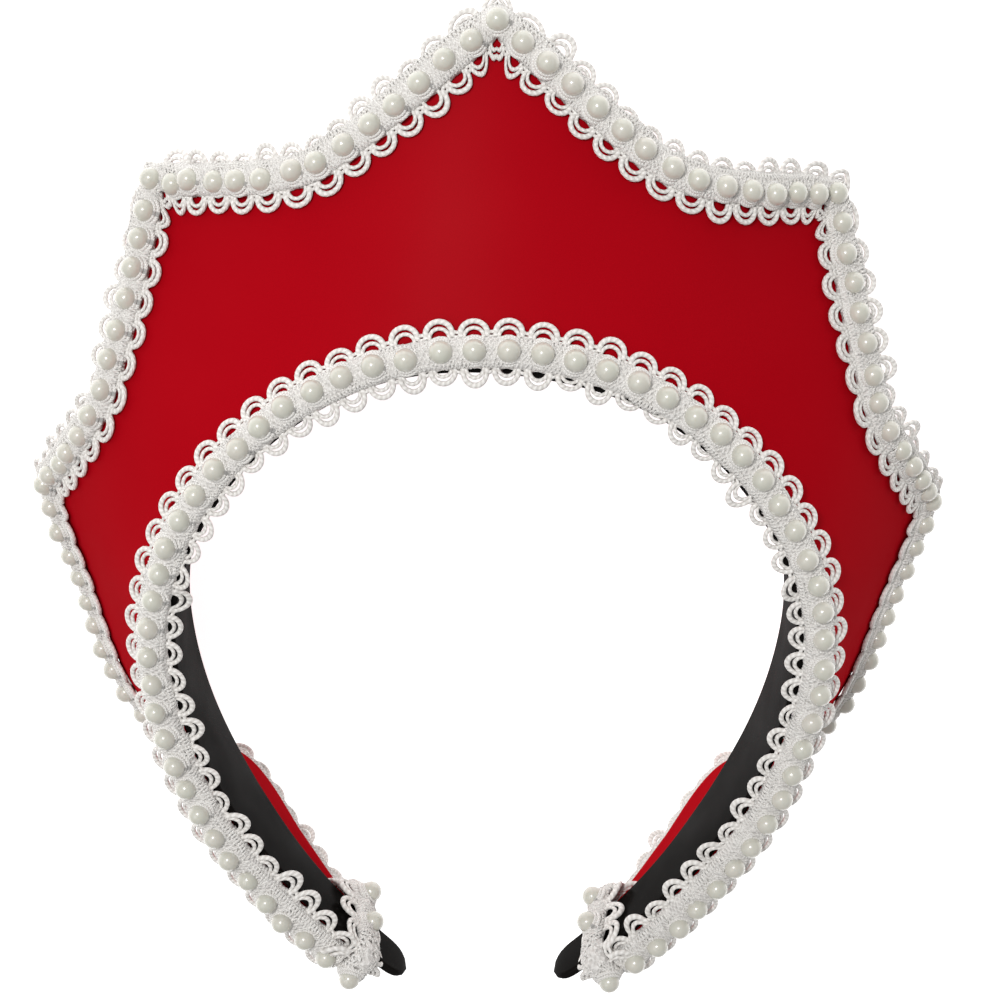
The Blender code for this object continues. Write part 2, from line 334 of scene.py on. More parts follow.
def arch(s):
    s = np.asarray(s, float)
    side = np.where(s < 0.0, -1.0, 1.0)
    left = np.abs(s)
    x, y, heading = np.zeros_like(s), np.zeros_like(s), np.zeros_like(s)
    for arc in ARCH_ARCS:
        radius = arc.radius * HEAD_HALF
        most = math.inf if arc is ARCH_ARCS[-1] else math.radians(arc.sweep_deg)
        turn = np.minimum(left / radius, most)
        x = x + radius * (np.sin(heading + turn) - np.sin(heading))
        y = y + radius * (np.cos(heading + turn) - np.cos(heading))
        heading = heading + turn
        left = left - radius * turn
    zero = np.zeros_like(s)
    point = np.stack([side * x, y, zero], -1)
    tangent = np.stack([np.cos(heading), -side * np.sin(heading), zero], -1)
    normal = np.stack([side * np.sin(heading), np.cos(heading), zero], -1)
    return point, tangent, normal


FRONT = np.array([0.0, 0.0, 1.0])


def unit(v):
    return v / np.linalg.norm(v, axis=-1, keepdims=True)


def dot(a, b):
    return np.sum(a * b, axis=-1, keepdims=True)


def ruling(s):
    angle = lean(s)[..., None]
    return arch(s)[2] * np.cos(angle) - FRONT * np.sin(angle)


def on_panel(s, width):
    """Points of the panel's outer face, and its outward normals."""
    width = np.asarray(width)[..., None]
    ahead = arch(s + PROBE)[0] + ruling(s + PROBE) * width
    behind = arch(s - PROBE)[0] + ruling(s - PROBE) * width
    return arch(s)[0] + ruling(s) * width, unit(np.cross(ahead - behind, ruling(s)))


def edge_frame(s, reach):
    """The outer edge's points, normals and inward directions, smoothed over reach each way."""
    point, normal = on_panel(s, panel_width(s))
    low, high = np.maximum(s - reach, -ARCH_HALF), np.minimum(s + reach, ARCH_HALF)
    tangent = on_panel(high, panel_width(high))[0] - on_panel(low, panel_width(low))[0]
    return point, normal, unit(np.cross(tangent, normal))


# The two trims' runs: where each sits, counted in pearls along it


def outer_stations():
    """Lengths along the arch at each pearl and each hollow of the outer trim."""
    half = [0.0]
    marks = list(POINTS) + [1.0]
    for low, high in zip(marks, marks[1:]):
        fine = np.linspace(low, high, EDGE_SAMPLES) * ARCH_HALF
        points = on_panel(fine, panel_width(fine))[0]
        walked = np.r_[0.0, np.cumsum(np.linalg.norm(np.diff(points, axis=0), axis=1))]
        count = 2 * round(walked[-1] / OUTER_PITCH) + (1 if high == 1.0 else 0)
        goals = walked[-1] * np.arange(1, count + 1) / count
        half += list(np.interp(goals, walked, fine))
    return np.array([-s for s in reversed(half[1:])] + half)


class Run:
    """A trim's path: folded frames sampled finely, to bend flat lace onto the tiara."""

    def __init__(self, turns, point, faces, room, pitch, lip_half, lip_stretch=None, seats=None):
        face_dir, face_normal, lip_dir, lip_normal = faces
        self.turns = turns
        self.pitch = pitch
        self.lip_half = lip_half
        self.lump = 0.0
        up = across_fold(face_normal, lip_normal)
        if seats is None:
            seats = pearl_seats(point, up)
        if lip_stretch is None:
            lip_stretch = np.ones(len(turns))
        self.columns = {
            "fold": point + up * GAP,
            "pearl": seats,
            "pearl_up": unit(up),
            "face_dir": face_dir,
            "face_normal": face_normal,
            "lip_dir": lip_dir,
            "lip_normal": lip_normal,
            "room": room[:, None] / TRIM_REACH,
            "lip_stretch": lip_stretch[:, None],
        }

    def at(self, turn, name):
        column = self.columns[name]
        picked = [np.interp(turn, self.turns, column[:, k]) for k in range(column.shape[1])]
        return np.stack(picked, -1)

    def bend(self, flat, lip_wave=0.0):
        """Flat points (turn, across, height) on the tiara. The face is across > 0, the lip < 0."""
        turn, across, height = flat[:, 0], flat[:, 1:2], flat[:, 2:3]
        fold = self.at(turn, "fold")
        face_dir, lip_dir = unit(self.at(turn, "face_dir")), unit(self.at(turn, "lip_dir"))
        face_normal = unit(self.at(turn, "face_normal"))
        lip_normal = unit(self.at(turn, "lip_normal"))
        past_fold = (-across - FOLD_RADIUS) * self.at(turn, "lip_stretch")
        reach = np.where(across > 0.0, across * self.at(turn, "room"), FOLD_RADIUS + past_fold)
        side = np.where(across > 0.0, face_dir, lip_dir)
        t = np.clip(0.5 + 0.5 * across / FOLD_RADIUS, 0.0, 1.0)
        round_path = fold + (face_dir * t**2 + lip_dir * (1.0 - t) ** 2) * FOLD_RADIUS
        straight = fold + side * reach
        near = np.abs(across) < FOLD_RADIUS
        place = np.where(near, round_path, straight)
        t = t * t * (3.0 - 2.0 * t)
        normal = unit(face_normal * t + lip_normal * (1.0 - t))
        sway = lip_wave * np.clip((-across - BRAID_HALF) / TRIM_REACH, 0.0, 1.0)
        bent = place + normal * (height + sway)
        bent[:, 2] = np.maximum(bent[:, 2], FLOOR_RISE - ORIGIN.z)
        return bent


def across_fold(face_normal, lip_normal):
    """The way out of a fold between two faces, as long as a unit offset of both faces needs."""
    return (face_normal + lip_normal) / (1.0 + dot(face_normal, lip_normal))


def pearl_seats(point, up):
    return point + up * (GAP + TRIM_WALL) + unit(up) * PEARL_LIFT


def inner_run():
    pearls = round(2.0 * ARCH_HALF / INNER_PITCH)
    turns = np.linspace(0.0, pearls, INNER_STEPS * pearls + 1)
    s = (turns / pearls * 2.0 - 1.0) * ARCH_HALF
    point, tangent, normal = arch(s)
    angle, lip = lean(s)[:, None], np.radians(stand(s, "lip_deg"))[:, None]
    lip_dir = -normal * np.cos(lip) + FRONT * np.sin(lip)
    lip_normal = normal * np.sin(lip) + FRONT * np.cos(lip)
    up = across_fold(normal * np.sin(angle) + FRONT * np.cos(angle), lip_normal)
    sprung = angle - np.radians(spring(s, "splay_deg"))[:, None]
    fold = point + normal * spring(s, "stand_off")[:, None]
    face_dir = normal * np.cos(sprung) - FRONT * np.sin(sprung)
    face_normal = normal * np.sin(sprung) + FRONT * np.cos(sprung)
    room = np.full(len(s), TRIM_REACH)
    faces = (face_dir, face_normal, lip_dir, lip_normal)
    seats, stretch = pearl_seats(point, up), spring(s, "lip_stretch")
    run = Run(turns, fold, faces, room, INNER_PITCH, LIP_HALF, stretch, seats)
    loops = np.arange(pearls) + 0.5
    return run, loops, loops


def room_at_points(point, inward):
    """The reach at which the lace stays on its own side of the line down from each star point."""
    room = np.full(len(point), TRIM_REACH)
    for at in POINTS:
        for side in (-1.0, 1.0):
            tip, normal, down = edge_frame(np.array([side * at * ARCH_HALF]), CREASE)
            across = np.cross(down, normal)[0]
            away = (point - tip) @ across
            closing = -(inward @ across) * np.sign(away)
            near = (np.linalg.norm(point - tip, axis=1) < 2.0 * TRIM_REACH) & (closing > 0.0)
            limit = (np.abs(away) + MITRE_OVERLAP) / np.maximum(closing, TINY)
            room = np.where(near, np.minimum(room, limit), room)
    return room


def outer_run():
    stations = outer_stations()
    middle = len(stations) // 2
    halves = (np.arange(len(stations)) - middle) / 2.0
    turns = np.linspace(halves[0], halves[-1], OUTER_STEPS * len(stations) + 1)
    s = np.interp(turns, halves, stations)
    point, normal, inward = edge_frame(s, 1.5 * CREASE)
    hem = np.radians(stand(s, "hem_deg"))[:, None]
    hem = hem * spring(s, "hem_kept")[:, None]
    lip_dir = -inward * np.cos(hem) - normal * np.sin(hem)
    lip_normal = normal * np.cos(hem) - inward * np.sin(hem)
    room = room_at_points(point, inward)
    faces = (inward, normal, lip_dir, lip_normal)
    up = across_fold(normal, lip_normal)
    seats = pearl_seats(point, up) + (inward - unit(up)) * spring(s, "pearl_sunk")[:, None]
    run = Run(turns, point, faces, room, OUTER_PITCH, OUTER_LIP_HALF, seats=seats)
    loops = np.arange(math.ceil(halves[0]), math.floor(halves[-1]) + 1).astype(float)
    return run, loops, loops


def end_run(side):
    """The lace that goes once round the end of the hairband and both trims, a little askew."""
    angle = np.linspace(0.0, 2.0 * math.pi, END_SAMPLES)
    across, deep = np.cos(angle), np.sin(angle)
    point, tangent, normal = arch(side * (ARCH_HALF + END_SKEW * deep))
    out = END_MIDDLE[0] + END_HALF[0] * np.sign(across) * np.abs(across) ** END_CORNER
    up = END_MIDDLE[1] + END_HALF[1] * np.sign(deep) * np.abs(deep) ** END_CORNER
    ring = point + normal * out[:, None] + FRONT * up[:, None]
    steps = np.linalg.norm(np.diff(ring, axis=0), axis=1)
    walked = np.r_[0.0, np.cumsum(steps)]
    count = round(walked[-1] / INNER_PITCH)
    ahead = unit(np.roll(ring[:-1], -1, axis=0) - np.roll(ring[:-1], 1, axis=0))
    ahead = np.concatenate([ahead, ahead[:1]])
    tip = tangent * side
    outward = unit(np.cross(tip, ahead))
    outward = outward * np.sign(dot(outward, ring - ring[:-1].mean(axis=0)))
    sink = math.radians(END_SINK_DEG)
    face_dir = unit(tip * math.cos(sink) - outward * math.sin(sink))
    face_normal = unit(outward * math.cos(sink) + tip * math.sin(sink))
    room = np.full(len(angle), TRIM_REACH)
    turns = walked / walked[-1] * count
    faces = (face_dir, face_normal, -tip, outward)
    run = Run(turns, ring, faces, room, walked[-1] / count, BRAID_HALF)
    run.lump = END_LUMP
    return run, np.arange(count) + 0.5, np.array(END_PEARLS)


# The arch frame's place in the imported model, read from the crown panel's highest corner

PANEL_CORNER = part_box("crown_panel")[1]
TOP = np.array([0.0])
TOP_RISE = float((ruling(TOP) * panel_width(TOP)[:, None])[0, 1])
ORIGIN = Vector((0.0, PANEL_CORNER[1] - TOP_RISE, PANEL_CORNER[2]))


# Expressions on node sockets


class Sock:
    """A node socket that adds Math nodes when it is used in an expression."""

    def __init__(self, tree, link):
        self.tree = tree
        self.link = link

    def node(self, kind, settings=None, sockets=None, out=0):
        """Adds a node: its settings first, then the values or links of its sockets."""
        made = self.tree.nodes.new(kind)
        for name, value in (settings or {}).items():
            setattr(made, name, value)
        for name, value in (sockets or {}).items():
            if isinstance(value, Sock):
                self.tree.links.new(value.link, made.inputs[name])
            else:
                made.inputs[name].default_value = value
        return Sock(self.tree, made.outputs[out])

    def _math(self, operation, *values):
        return self.node("ShaderNodeMath", {"operation": operation}, dict(enumerate(values)))

    def __add__(self, other):
        return self._math("ADD", self, other)

    def __sub__(self, other):
        return self._math("SUBTRACT", self, other)

    def __mul__(self, other):
        return self._math("MULTIPLY", self, other)

    def __radd__(self, other):
        return self._math("ADD", other, self)

    def __rmul__(self, other):
        return self._math("MULTIPLY", other, self)

    def sin(self):
        return self._math("SINE", self)

    def cos(self):
        return self._math("COSINE", self)

    def clamp(self):
        return self.node("ShaderNodeClamp", None, {"Value": self, "Min": 0.0, "Max": 1.0})

    def mix(self, low, high):
        """A colour between low and high by this value."""
        settings = {"data_type": "RGBA", "clamp_factor": True}
        return self.node("ShaderNodeMix", settings, {0: self, 6: low, 7: high}, out=2)


class Finish:
    """A Principled material, with helpers for the patterns that feed it."""

    def __init__(self, name, roughness, **fixed):
        self.material = bpy.data.materials.new(name)
        self.material.use_nodes = True
        self.tree = self.material.node_tree
        self.shader = self.tree.nodes["Principled BSDF"]
        self.shader.inputs["Roughness"].default_value = roughness
        for name_, value in fixed.items():
            self.shader.inputs[name_.replace("_", " ")].default_value = value
        self.any = Sock(self.tree, None)
        self.place = self.any.node("ShaderNodeTexCoord", out=3)

    def noise(self, scale, detail):
        values = {"Vector": self.place, "Scale": scale, "Detail": detail, "Roughness": 0.55}
        return self.any.node("ShaderNodeTexNoise", None, values)

    def attribute(self, name):
        return self.any.node("ShaderNodeAttribute", {"attribute_name": name}, out=2)

    def place_along(self, axis):
        return self.any.node("ShaderNodeSeparateXYZ", None, {0: self.place}, out=axis)

    def feed(self, name, value):
        self.tree.links.new(value.link, self.shader.inputs[name])

    def bump(self, height, distance, strength):
        values = {"Height": height, "Distance": distance, "Strength": strength}
        self.feed("Normal", self.any.node("ShaderNodeBump", None, values))


def satin_finish():
    """Deep red satin: a fine close weave with long soft waves in its sheen."""
    made = Finish("red_satin_weave", 0.5, Specular_IOR_Level=0.0, Coat_Roughness=0.45)
    broad = made.noise(22.0, 2.0)
    colour = broad.mix((0.330, 0.0012, 0.0055, 1.0), (0.375, 0.0020, 0.0070, 1.0))
    made.feed("Base Color", colour)
    made.feed("Coat Weight", 0.01 + 0.03 * broad)
    warp = (made.place_along(0) * SATIN_WEAVE).sin()
    weft = (made.place_along(1) * SATIN_WEAVE).sin()
    fine = made.noise(2600.0, 1.0)
    made.bump((warp + weft) * 0.25 + fine * 0.6, 0.00004, 0.2)
    return made.material


def cover_finish():
    """The hairband's black cover, smooth with a soft gloss and faint handling marks."""
    made = Finish("black_band_cover", 0.36, Specular_IOR_Level=0.0, Coat_Roughness=0.22)
    smudge = made.noise(60.0, 4.0)
    made.feed("Coat Weight", 0.03 + 0.09 * smudge)
    made.feed("Base Color", smudge.mix((0.004, 0.0035, 0.003, 1.0), (0.009, 0.008, 0.0075, 1.0)))
    made.bump(made.noise(1400.0, 2.0), 0.00005, 0.4)
    return made.material


def thread_finish(name, light, dark, lay):
    """Twisted ivory thread: bright plies with painted shade in the grooves between them, along the
    cord.
    """
    made = Finish(name, 0.5, Sheen_Weight=0.35, Sheen_Roughness=0.35)
    along = made.attribute("along")
    around = made.attribute("around")
    turn = along * (2.0 * math.pi / lay) + around * (2.0 * math.pi)
    ply = 0.5 + 0.5 * turn.sin()
    soil = made.noise(700.0, 3.0)
    # The base colour is darkened in the grooves between plies as painted shade, and varies at random
    # with the soil noise.
    gap_shade_and_tone = (ply * 0.65 + soil * 0.45).clamp()
    made.feed("Base Color", gap_shade_and_tone.mix(dark, light))
    made.feed("Roughness", 0.40 + 0.25 * soil)
    made.bump(ply * 0.7 + soil * 0.4, 0.00018, 0.8)
    return made.material


def braid_finish():
    """The braid under the pearls: short slanted stitches, crowded and uneven, with painted shade in
    the gaps between them.
    """
    made = Finish("ivory_braid", 0.55, Sheen_Weight=0.3, Sheen_Roughness=0.35)
    along = made.attribute("along")
    across = made.attribute("across")
    wobble = made.noise(420.0, 3.0) * 9.0
    rise = (along * 6200.0 + across * 4100.0 + wobble).sin()
    fall = (along * 6900.0 - across * 4700.0 - wobble).sin()
    grain = made.noise(1500.0, 3.0)
    stitch = 0.5 + 0.2 * (rise + fall)
    # The base colour is darkened in the gaps between stitches as painted shade, and varies at random
    # with the grain noise.
    gap_shade_and_tone = (stitch * 0.5 + grain * 0.7).clamp()
    made.feed("Base Color", gap_shade_and_tone.mix((0.42, 0.385, 0.355, 1.0), (0.96, 0.94, 0.91, 1.0)))
    made.bump(stitch + grain, 0.0004, 1.0)
    made.feed("Roughness", 0.45 + 0.25 * grain)
    return made.material


def pearl_finish():
    """A pearl coat: warm grey white with faint pink and green drifts and a soft clear gloss."""
    gloss = {"Specular_IOR_Level": 0.6, "Coat_Roughness": 0.14}
    depth = {"Subsurface_Radius": (1.0, 0.9, 0.8), "Subsurface_Scale": 0.0015}
    made = Finish("pearl_coat", 0.30, Subsurface_Weight=0.35, **gloss, **depth)
    drift = made.noise(180.0, 1.0)
    made.feed("Base Color", drift.mix((0.61, 0.575, 0.52, 1.0), (0.575, 0.585, 0.505, 1.0)))
    made.feed("Coat Weight", 0.6 + 0.3 * drift)
    made.feed("Roughness", 0.26 + 0.12 * made.noise(900.0, 2.0))
    return made.material


# Turning pieces into finished objects


def piece(name, mesh, slot, *nodes):
    """A finished mesh in the arch frame, moved to its place under the root, with the parts that it
    replaces hidden.
    """
    mesh.transform(Matrix.Translation(ORIGIN))
    obj = bpy.data.objects.new(name, mesh)
    bpy.context.scene.collection.objects.link(obj)
    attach(obj, "root")
    if nodes:
        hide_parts(*nodes)
    return obj


def tube_mesh(name, grid):
    """A closed mesh from rows of points: each row is a ring, and the two end rings are capped."""
    index = np.arange(grid.shape[0] * grid.shape[1]).reshape(grid.shape[:2])
    after = np.roll(index, -1, axis=1)
    sides = np.stack([index[:-1], after[:-1], after[1:], index[1:]], -1)
    faces = sides.reshape(-1, 4).tolist() + [index[0].tolist(), index[-1].tolist()]
    mesh = bpy.data.meshes.new(name)
    mesh.from_pydata(grid.reshape(-1, 3).tolist(), [], faces)
    return turned_out(mesh)


def turned_out(mesh):
    """The mesh with its faces turned outward and shaded smooth."""
    bm = bmesh.new()
    bm.from_mesh(mesh)
    bmesh.ops.recalc_face_normals(bm, faces=bm.faces[:])
    bm.to_mesh(mesh)
    bm.free()
    mesh.shade_smooth()
    return mesh


def add_attribute(mesh, name, values):
    layer = mesh.attributes.new(name, "FLOAT", "POINT")
    layer.data.foreach_set("value", np.ascontiguousarray(values, dtype=np.float32))


def coordinates(mesh):
    found = np.empty(len(mesh.vertices) * 3, dtype=np.float32)
    mesh.vertices.foreach_get("co", found)
    return found.reshape(-1, 3).astype(float)


def move_to(mesh, points):
    mesh.vertices.foreach_set("co", np.ascontiguousarray(points.reshape(-1), dtype=np.float32))
    mesh.update()


# The satin panel


def satin_panel(finish):
    """The crescent with soft waves in its satin and a rolled edge."""
    stations = [0.0]
    for near, far in zip(EDGE, EDGE[1:]):
        count = math.ceil((far.at - near.at) * ARCH_HALF / SATIN_STEP)
        shares = [near.at + (far.at - near.at) * i / count for i in range(1, count + 1)]
        stations += [share * ARCH_HALF for share in shares]
    s = np.array([-v for v in reversed(stations[1:])] + stations)
    width = panel_width(s)
    front, back = [], []
    for part in SATIN_COLUMNS:
        point, normal = on_panel(s, width * part)
        inside = 0.0 < part < 1.0
        roll = 0.0 if inside else SATIN_ROLL
        dip = np.sin(np.pi * part) ** 0.5 if inside else 0.0
        wave = sum(w.height * np.sin(s * w.along + part * w.across) for w in SATIN_WAVES)
        lift = normal * (dip * wave)[:, None]
        front.append(point - normal * (PANEL_WALL * roll) + lift)
        back.append(point - normal * (PANEL_WALL * (1.0 - roll)) + lift)
    mesh = tube_mesh("crown_satin", np.stack(front + back[::-1], axis=1))
    mesh.materials.append(finish)
    mesh.set_sharp_from_angle(angle=math.radians(SATIN_SHARP_DEG))
    return piece("crown_satin", mesh, "red_satin", "crown_panel")


# The hairband


def hairband(finish):
    """The covered band: a flat section with soft edges, narrowing to rounded tips."""
    end = ARCH_HALF + BAND_TIP
    s = np.linspace(-end, end, BAND_SAMPLES)
    point, tangent, normal = arch(s)
    dip = BAND_DIP * np.exp(-(((s - BAND_DIP_AT) / BAND_DIP_REACH) ** 2))
    outer = point - normal * (PANEL_WALL * np.sin(lean(s)) + GAP + dip)[:, None]
    depth = stand(s, "band") * BAND_WIDTH
    tip = np.clip((end - np.abs(s)) / TIP_ROUND, 0.0, 1.0)
    narrow = np.sqrt(np.maximum(1.0 - (1.0 - tip) ** 2, 0.0))
    half_depth = depth / 2.0 * np.maximum(narrow, TIP_LEAST_HALF)
    wall = BAND_WALL * np.maximum(np.minimum(narrow * TIP_WALL_GAIN, 1.0), TIP_LEAST_WALL)
    middle = -depth / 2.0
    round_out = np.minimum(BAND_WALL * BAND_CORNER, wall / 2.0)
    round_up = np.minimum(BAND_WALL * BAND_CORNER, half_depth)
    corner = np.linspace(0.0, 0.5 * math.pi, BAND_CORNER_STEPS)
    rings = []
    for out_side, up_side, start in ((1, 1, 0.0), (-1, 1, 0.5), (-1, -1, 1.0), (1, -1, 1.5)):
        for a in corner + start * math.pi:
            out = out_side * (wall / 2.0 - round_out) + round_out * math.cos(a) - BAND_WALL / 2.0
            up = up_side * (half_depth - round_up) + round_up * math.sin(a)
            rings.append(outer + normal * out[:, None] + FRONT * (middle + up)[:, None])
    mesh = tube_mesh("hairband_cover", np.stack(rings, axis=1))
    mesh.materials.append(finish)
    return piece("hairband_cover", mesh, "black_cover", "hairband")


# Flat lace, made by Geometry Nodes and bent onto the tiara


class Growth:
    """A Geometry Nodes tree with named inputs, run once to give a plain mesh."""

    def __init__(self, name):
        self.tree = bpy.data.node_groups.new(name, "GeometryNodeTree")
        self.tree.interface.new_socket("Geometry", in_out="INPUT", socket_type="NodeSocketGeometry")
        self.tree.interface.new_socket("Geometry", in_out="OUTPUT", socket_type="NodeSocketGeometry")
        self.inputs = self.tree.nodes.new("NodeGroupInput")
        self.any = Sock(self.tree, None)
        self.values = {}

    def value(self, name, kind, number):
        """A named input of the tree, and the value that its modifier is given."""
        made = self.tree.interface.new_socket(name, in_out="INPUT", socket_type="NodeSocket" + kind)
        self.values[made.identifier] = number
        return Sock(self.tree, self.inputs.outputs[name])

    def node(self, kind, settings=None, sockets=None, out=0):
        return self.any.node(kind, settings, sockets, out)

    def join(self, parts):
        joined = self.tree.nodes.new("GeometryNodeJoinGeometry")
        for part in parts:
            self.tree.links.new(part.link, joined.inputs[0])
        return Sock(self.tree, joined.outputs[0])

    def cord(self, curve, radius, sides):
        """A round cord along a curve, which remembers its length and its way round."""
        marked = self.marked(curve, "along", self.node("GeometryNodeSplineParameter", out=1))
        ring = self.circle(sides, radius)
        wound = self.marked(ring, "around", self.node("GeometryNodeSplineParameter", out=0))
        sockets = {"Curve": marked, "Profile Curve": wound, "Fill Caps": True}
        return self.node("GeometryNodeCurveToMesh", None, sockets)

    def circle(self, steps, radius):
        sockets = {"Resolution": steps, "Radius": radius}
        return self.node("GeometryNodeCurvePrimitiveCircle", None, sockets)

    def marked(self, curve, name, value):
        settings = {"data_type": "FLOAT", "domain": "POINT"}
        sockets = {"Geometry": curve, "Name": name, "Value": value}
        return self.node("GeometryNodeStoreNamedAttribute", settings, sockets)

    def moved(self, geometry, by, scale=(1.0, 1.0, 1.0)):
        sockets = {"Geometry": geometry, "Translation": by, "Scale": scale}
        return self.node("GeometryNodeTransform", None, sockets)

    def vector(self, x, y, z):
        return self.node("ShaderNodeCombineXYZ", None, {0: x, 1: y, 2: z})

    def grown(self, name, material, source=None):
        """Runs the tree once, on source or on nothing, and returns its mesh."""
        seat = source or bpy.data.meshes.new(name + "_seat")
        holder = bpy.data.objects.new(name + "_holder", seat)
        bpy.context.scene.collection.objects.link(holder)
        modifier = holder.modifiers.new("grow", "NODES")
        modifier.node_group = self.tree
        for identifier, number in self.values.items():
            modifier[identifier] = number
        bpy.context.view_layer.update()
        graph = bpy.context.evaluated_depsgraph_get()
        mesh = bpy.data.meshes.new_from_object(holder.evaluated_get(graph))
        holder.modifiers.remove(modifier)
        bpy.data.objects.remove(holder, do_unlink=True)
        mesh.name = name
        if not mesh.materials:
            mesh.materials.append(material)
        return mesh

    def end(self, geometry, material):
        """Ends the tree: its instances made real, and its material set."""
        real = self.node("GeometryNodeRealizeInstances", None, {"Geometry": geometry})
        sockets = {"Geometry": real, "Material": material}
        dressed = self.node("GeometryNodeSetMaterial", None, sockets)
        out = self.tree.nodes.new("NodeGroupOutput")
        self.tree.links.new(dressed.link, out.inputs[0])


def lace_arches(name, count, pitch, material):
    """The corded loops of both edges, flat: an outer and an inner one at each pearl, with knots."""
    grow = Growth(name)
    copies = grow.value("Pearls", "Int", count)
    step = grow.value("Pitch", "Float", pitch)
    knot_cord = grow.value("Knot cord radius", "Float", KNOT_CORD)
    radii = [grow.value(f"Cord radius {i + 1}", "Float", loop.cord) for i, loop in enumerate(LOOPS)]
    parts = []
    for side in (-1.0, 1.0):
        for loop, radius in zip(LOOPS, radii):
            sockets = {"Resolution": loop.steps, "Radius": loop.half}
            sockets["Start Angle"] = -LEG_TURN
            sockets["Sweep Angle"] = math.pi + 2.0 * LEG_TURN
            arc = grow.node("GeometryNodeCurveArc", {"mode": "RADIUS"}, sockets)
            placed = grow.moved(arc, (0.0, side * loop.foot, 0.0), (1.0, side, 1.0))
            parts.append(grow.cord(placed, radius, loop.sides))
        ring = grow.circle(KNOT_STEPS, 1.0)
        seat = grow.vector(step * 0.5, side * KNOT_FOOT, 0.0)
        placed = grow.moved(ring, seat, (*KNOT_HALF, 1.0))
        parts.append(grow.cord(placed, knot_cord, RING_SIDES))
    motif = grow.join(parts)
    stride = grow.vector(step, 0.0, 0.0)
    line = grow.node("GeometryNodeMeshLine", {"mode": "OFFSET"}, {"Count": copies, "Offset": stride})
    rows = grow.node("GeometryNodeInstanceOnPoints", None, {"Points": line, "Instance": motif})
    grow.end(rows, material)
    return grow.grown(name, material)


def braid_threads(name, count, pitch, lip_half, material):
    """The shiny threads that cross over the braid, flat, as waves that pass over and under."""
    grow = Growth(name)
    length = grow.value("Length", "Float", count * pitch)
    radius = grow.value("Thread radius", "Float", THREAD_RADIUS)
    parts = []
    for thread in THREADS:
        far = grow.vector(length, 0.0, 0.0)
        line = grow.node("GeometryNodeCurvePrimitiveLine", None, {"End": far})
        steps = int(count * thread.waves * THREAD_STEPS)
        even = grow.node("GeometryNodeResampleCurve", None, {"Curve": line, "Count": steps})
        x = grow.node("ShaderNodeSeparateXYZ", None, {0: grow.node("GeometryNodeInputPosition")})
        angle = (x * (thread.waves / pitch) + thread.phase) * (2.0 * math.pi)
        side = lip_half / BRAID_HALF if thread.centre < 0.0 else 1.0
        y = (thread.centre + thread.swing * angle.sin()) * (MM * side)
        z = (angle * 2.0).cos() * THREAD_WEAVE + THREAD_RISE
        sockets = {"Geometry": even, "Position": grow.vector(x, y, z)}
        waved = grow.node("GeometryNodeSetPosition", None, sockets)
        parts.append(grow.cord(waved, radius, THREAD_SIDES))
    grow.end(grow.join(parts), material)
    return grow.grown(name, material)


def ripple(turn, across, seed, face_scale, lip_scale):
    """A seeded unevenness, one value for each loop on each side, with loops centred on whole turns."""
    rng = np.random.default_rng(seed)
    edge = np.floor(turn + 1.0).astype(int)
    first = edge.min() - 1
    count = edge.max() - first + 2
    t = np.clip((turn + 0.5 - edge) / LOOP_BLEND + 0.5, 0.0, 1.0)
    t = t * t * (3.0 - 2.0 * t)
    sides = [rng.normal(0.0, scale, count) for scale in (face_scale, lip_scale)]
    face, lip = [v[edge - 1 - first] * (1.0 - t) + v[edge - first] * t for v in sides]
    return np.where(across > 0.0, face, lip)


def braid_top(turn, across, lip_half):
    """How high the braid stands: highest between the pearls, thin at its edges."""
    half = np.where(np.asarray(across) > 0.0, BRAID_HALF, lip_half)
    share = np.clip(np.abs(across) / half, 0.0, 1.0)
    between = 0.5 - 0.5 * np.cos(turn * 2.0 * math.pi)
    return BRAID_EDGE + (BRAID_RISE + BRAID_SWELL * between) * (1.0 - share**3) ** 0.6


def bend_lace(mesh, run, first_turn, lift, seed):
    """Lays a flat lace mesh, whose first pearl is at X = 0, along a trim's run."""
    flat = coordinates(mesh)
    turn = np.clip(first_turn + flat[:, 0] / run.pitch, run.turns[0], run.turns[-1])
    across = flat[:, 1]
    stretch = 1.0 + ripple(turn - first_turn, across, seed, FACE_UNEVEN, LIP_UNEVEN)
    sway = ripple(turn - first_turn, across, seed + SWAY_SEED, 0.0, LIP_SWAY)
    height = flat[:, 2] + lift(turn - first_turn, across)
    move_to(mesh, run.bend(np.stack([turn, across * stretch, height], -1), sway[:, None]))
    return mesh


def braid_ground(name, run, first_pearl, material):
    """The close braid under the pearls: a folded strip that stands high round them."""
    first, last = run.turns[0], run.turns[-1]
    turns = np.linspace(first, last, int((last - first) * BRAID_STEPS) + 1)
    top, bottom, along, across = [], [], [], []
    for share in np.linspace(-1.0, 1.0, BRAID_COLUMNS):
        half = BRAID_HALF if share > 0.0 else run.lip_half
        y = share * (half - BRAID_SCALLOP * np.cos(turns * 4.0 * math.pi))
        bunched = np.sin(turns * 7.3 + share * 6.0) + np.sin(turns * 17.1 - share * 8.0)
        lumps = BRAID_LUMP * np.sin(turns * 8.0 * math.pi + share * 9.0) + run.lump * bunched
        high = braid_top(turns - first_pearl, y, run.lip_half) + lumps * (1.0 - abs(share))
        low = np.full(len(turns), BRAID_FLOOR)
        top.append(run.bend(np.stack([turns, y, high], -1)))
        bottom.append(run.bend(np.stack([turns, y, low], -1)))
        along.append(turns * run.pitch)
        across.append(y)
    mesh = tube_mesh(name, np.stack(top + bottom[::-1], axis=1))
    add_attribute(mesh, "along", np.stack(along + along[::-1], axis=1).reshape(-1))
    add_attribute(mesh, "across", np.stack(across + across[::-1], axis=1).reshape(-1))
    mesh.materials.append(material)
    return mesh


